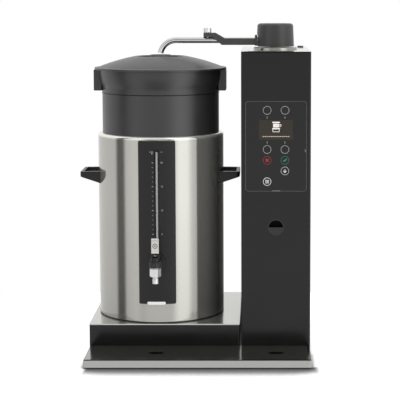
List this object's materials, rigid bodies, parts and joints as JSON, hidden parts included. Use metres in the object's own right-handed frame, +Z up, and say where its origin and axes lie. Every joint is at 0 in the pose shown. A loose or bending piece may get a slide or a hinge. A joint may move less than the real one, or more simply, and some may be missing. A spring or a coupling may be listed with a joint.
{
  "type": "coffee urn",
  "caption": "Bulk coffee brewer: an insulated steel urn with sight gauge, lever tap, filter pan and domed lid on a black base, beside a column with a swivel outlet and a drip tray.",
  "frame": {"origin": "on the bench, at the middle of the whole outline seen from above, in the pictured pose", "axes": "+Z up, -Y towards the front where the tap and the control panel are, +X towards the column"},
  "size_m": [0.6788, 0.619, 0.954],
  "materials": {
    "black_paint": "satin",
    "steel": "satin brushed",
    "black_plastic": "fine matte",
    "overlay": "smooth satin",
    "clear": "clear",
    "board": "coated board",
    "chrome": "polished",
    "brass": "machined",
    "rubber": "matte",
    "cream": "smooth",
    "bearing": "machined",
    "wool": "fibrous"
  },
  "bodies": {
    "machine": {"chassis": "black_paint", "feet": "rubber", "base_skirt": "black_paint", "base_top_plate": "steel", "column_casing": "black_paint", "rear_cover": "black_paint", "rear_cover_screws": "steel", "column_top_plate": "steel", "control_panel": "overlay", "display_window": "clear", "display_module": "black_plastic", "control_board": "board", "finger_pull": "black_plastic", "boiler": "steel", "boiler_stand": "steel", "heating_element": "steel", "riser_pipe": "steel", "inlet_valve": "brass", "valve_coil": "black_plastic", "inlet_pipe": "steel", "cable_gland": "black_plastic", "gland_nut": "black_plastic", "swivel_flange": "black_plastic", "swivel_bush": "bearing", "plug_seat": "black_plastic"},
    "swivel_arm": {"swivel_cap": "black_plastic", "swivel_stem": "brass", "swivel_seals": "rubber", "outlet_pipe": "chrome", "grip_arm": "black_plastic"},
    "grip_nut": {"thumb_nut": "chrome"},
    "plug": {"column_plug": "black_plastic"},
    "urn": {"urn_shell": "steel", "urn_vessel": "steel", "urn_insulation": "wool", "urn_foot": "black_plastic", "left_handle": "black_plastic", "right_handle": "black_plastic", "gauge_panel": "black_plastic", "gauge_tube": "clear", "gauge_seals": "rubber", "tap_shank": "chrome", "tap_back_nut": "black_plastic", "tap_wall_nut": "black_plastic", "tap_housing": "black_plastic", "tap_nozzle": "chrome", "tap_bonnet": "black_plastic", "lever_pin": "chrome", "tap_spring": "chrome"},
    "lever": {"tap_lever": "cream"},
    "tap_valve": {"tap_stem": "chrome", "tap_seat": "rubber"},
    "filter": {"filter_pan": "black_plastic", "filter_basket": "steel"},
    "cover": {"lid": "black_plastic", "spray_plate": "black_plastic"},
    "tray": {"drip_tray": "steel", "tray_pads": "rubber"},
    "tray_cover": {"tray_plate": "steel"}
  },
  "joints": [
    {"name": "outlet_swing", "type": "hinge", "parent": "machine", "child": "swivel_arm", "pos_m": [0.2394, 0.0485, 0.886], "axis": [0, 0, 1], "range_deg": [-90, 90]},
    {"name": "grip_nut_turn", "type": "hinge", "parent": "swivel_arm", "child": "grip_nut", "pos_m": [0.0379, 0.0485, 0.933], "axis": [0, 0, 1], "continuous": true},
    {"name": "plug_pull", "type": "slide", "parent": "machine", "child": "plug", "axis": [0, 0, 1], "range_m": [0, 0.03]},
    {"name": "urn_slide", "type": "slide", "parent": "machine", "child": "urn", "axis": [0, -1, 0], "range_m": [0, 0.5]},
    {"name": "lever_tilt", "type": "hinge", "parent": "urn", "child": "lever", "pos_m": [-0.1026, -0.2318, 0.3047], "axis": [1, 0, 0], "range_deg": [0, 25], "stiffness_Nm_per_rad": 0.5, "springref_deg": -20.05},
    {"name": "valve_lift", "type": "slide", "parent": "urn", "child": "tap_valve", "axis": [0, 0, 1], "range_m": [0, 0.0034], "deforming": ["tap_spring"]},
    {"name": "filter_lift", "type": "slide", "parent": "urn", "child": "filter", "axis": [0, 0, 1], "range_m": [0, 0.024]},
    {"name": "cover_lift", "type": "slide", "parent": "filter", "child": "cover", "axis": [0, 0, 1], "range_m": [0, 0.024]},
    {"name": "tray_slide", "type": "slide", "parent": "machine", "child": "tray", "axis": [0, -1, 0], "range_m": [0, 0.18]},
    {"name": "tray_cover_lift", "type": "slide", "parent": "tray", "child": "tray_cover", "axis": [0, 0, 1], "range_m": [0, 0.04]}
  ],
  "couplings": [
    {"joint": "valve_lift", "follows": "lever_tilt", "m_per_rad": 0.00775}
  ]
}
